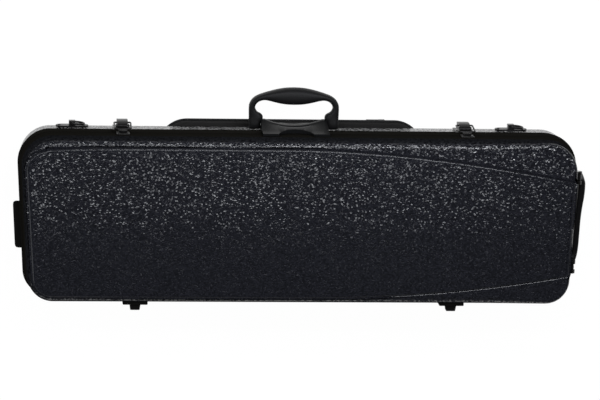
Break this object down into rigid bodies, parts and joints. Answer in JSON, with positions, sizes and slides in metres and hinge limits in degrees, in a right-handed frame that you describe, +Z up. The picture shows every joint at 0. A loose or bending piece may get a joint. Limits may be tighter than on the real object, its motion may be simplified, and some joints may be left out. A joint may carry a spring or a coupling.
{
  "type": "violin case",
  "caption": "Oblong hard case for a violin: hinged moulded lid, draw latches, swinging handles, strap rings, zipped rear pocket and a padded suspension interior",
  "frame": {"origin": "under the middle of the bounding box, on the surface that the closed case lies on", "axes": "+X towards the violin's broad end, -Y the handle and latch side, +Y the hinge side, +Z up from the back to the lid"},
  "size_m": [0.805, 0.3056, 0.1463],
  "materials": {
    "embossed_shell": "fine embossed dashes, satin gloss",
    "smooth_rim": "smooth satin",
    "black_rubber": "matte",
    "moulded_black": "fine moulded satin",
    "black_metal": "black plated",
    "steel": "polished",
    "black_nylon": "woven",
    "velvet": "short pile",
    "lining": "short pile over foam"
  },
  "bodies": {
    "case_back": {"back_shell": "embossed_shell", "back_rim": "smooth_rim", "rim_seal": "black_rubber", "suspension_bed": "velvet", "lower_bout_pad": "velvet", "upper_bout_pad": "velvet", "neck_cradle": "velvet", "neck_strap": "black_nylon", "handle_base": "moulded_black", "handle_pin_broad": "steel", "handle_pin_narrow": "steel", "handle_screw_broad": "steel", "handle_screw_narrow": "steel", "latch_base_broad": "black_metal", "latch_base_narrow": "black_metal", "latch_pin_broad": "steel", "latch_pin_narrow": "steel", "strap_plate_broad": "black_metal", "strap_plate_narrow": "black_metal", "back_foot_broad": "black_rubber", "back_foot_narrow": "black_rubber", "end_foot": "black_rubber", "end_bracket_front": "black_metal", "end_bracket_rear": "black_metal", "end_handle_pin_front": "steel", "end_handle_pin_rear": "steel", "hinge_back_broad": "black_metal", "hinge_back_narrow": "black_metal", "hinge_pin_broad": "steel", "hinge_pin_narrow": "steel", "music_pocket": "black_nylon", "pocket_piping": "black_nylon", "pocket_zip": "black_nylon", "zip_slider": "black_metal"},
    "lid": {"lid_shell": "embossed_shell", "lid_rim": "smooth_rim", "lid_liner": "lining", "keeper_broad": "black_metal", "keeper_narrow": "black_metal", "hinge_lid_broad": "black_metal", "hinge_lid_narrow": "black_metal", "lid_foot_broad": "black_rubber", "lid_foot_narrow": "black_rubber", "bow_clip_base_front": "moulded_black", "bow_clip_base_rear": "moulded_black", "bow_tip_holder_front": "velvet", "bow_tip_holder_rear": "velvet"},
    "carry_handle": {"handle": "moulded_black"},
    "tug_handle": {"end_handle": "moulded_black"},
    "lever_broad": {"latch_lever_broad": "black_metal"},
    "lever_narrow": {"latch_lever_narrow": "black_metal"},
    "bail_broad": {"latch_bail_broad": "black_metal"},
    "bail_narrow": {"latch_bail_narrow": "black_metal"},
    "ring_broad": {"d_ring_broad": "black_metal"},
    "ring_narrow": {"d_ring_narrow": "black_metal"},
    "cover_front": {"accessory_lid_front": "velvet"},
    "cover_rear": {"accessory_lid_rear": "velvet"},
    "clip_front": {"bow_clip_front": "moulded_black"},
    "clip_rear": {"bow_clip_rear": "moulded_black"}
  },
  "joints": [
    {"name": "lid_hinge", "type": "hinge", "parent": "case_back", "child": "lid", "pos_m": [0.00777, 0.14775, 0.0845], "axis": [-1, 0, 0], "range_deg": [0, 100]},
    {"name": "handle_swing", "type": "hinge", "parent": "case_back", "child": "carry_handle", "pos_m": [0.01377, -0.09775, 0.0543], "axis": [-1, 0, 0], "range_deg": [-60, 65]},
    {"name": "end_handle_swing", "type": "hinge", "parent": "case_back", "child": "tug_handle", "pos_m": [-0.3942, 0.0412, 0.0513], "axis": [0.0346, 0.9994, 0], "range_deg": [0, 110]},
    {"name": "latch_lever_broad_turn", "type": "hinge", "parent": "case_back", "child": "lever_broad", "pos_m": [0.25577, -0.09635, 0.0713], "axis": [-1, 0, 0], "range_deg": [0, 110]},
    {"name": "latch_lever_narrow_turn", "type": "hinge", "parent": "case_back", "child": "lever_narrow", "pos_m": [-0.22823, -0.09635, 0.0713], "axis": [-1, 0, 0], "range_deg": [0, 110]},
    {"name": "latch_bail_broad_turn", "type": "hinge", "parent": "lever_broad", "child": "bail_broad", "pos_m": [0.25577, -0.10005, 0.0633], "axis": [-1, 0, 0], "range_deg": [-131, 1]},
    {"name": "latch_bail_narrow_turn", "type": "hinge", "parent": "lever_narrow", "child": "bail_narrow", "pos_m": [-0.22823, -0.10005, 0.0633], "axis": [-1, 0, 0], "range_deg": [-131, 1]},
    {"name": "ring_broad_swing", "type": "hinge", "parent": "case_back", "child": "ring_broad", "pos_m": [0.32577, -0.09575, 0.0423], "axis": [0, 0, 1], "range_deg": [0, 155]},
    {"name": "ring_narrow_swing", "type": "hinge", "parent": "case_back", "child": "ring_narrow", "pos_m": [-0.29823, -0.09575, 0.0423], "axis": [0, 0, 1], "range_deg": [0, 155]},
    {"name": "cover_front_hinge", "type": "hinge", "parent": "case_back", "child": "cover_front", "pos_m": [0.00777, -0.02405, 0.0763], "axis": [-1, 0, 0], "range_deg": [0, 100]},
    {"name": "cover_rear_hinge", "type": "hinge", "parent": "case_back", "child": "cover_rear", "pos_m": [0.00777, 0.07555, 0.0763], "axis": [1, 0, 0], "range_deg": [0, 100]},
    {"name": "bow_clip_front_turn", "type": "hinge", "parent": "lid", "child": "clip_front", "pos_m": [0.27977, -0.03225, 0.1289], "axis": [0, 0, 1], "range_deg": [-90, 90]},
    {"name": "bow_clip_rear_turn", "type": "hinge", "parent": "lid", "child": "clip_rear", "pos_m": [0.27977, 0.08375, 0.1289], "axis": [0, 0, 1], "range_deg": [-90, 90]}
  ],
  "couplings": [
    {"joint": "latch_bail_broad_turn", "follows": "latch_lever_broad_turn", "ratio": -1.18},
    {"joint": "latch_bail_narrow_turn", "follows": "latch_lever_narrow_turn", "ratio": -1.18}
  ]
}
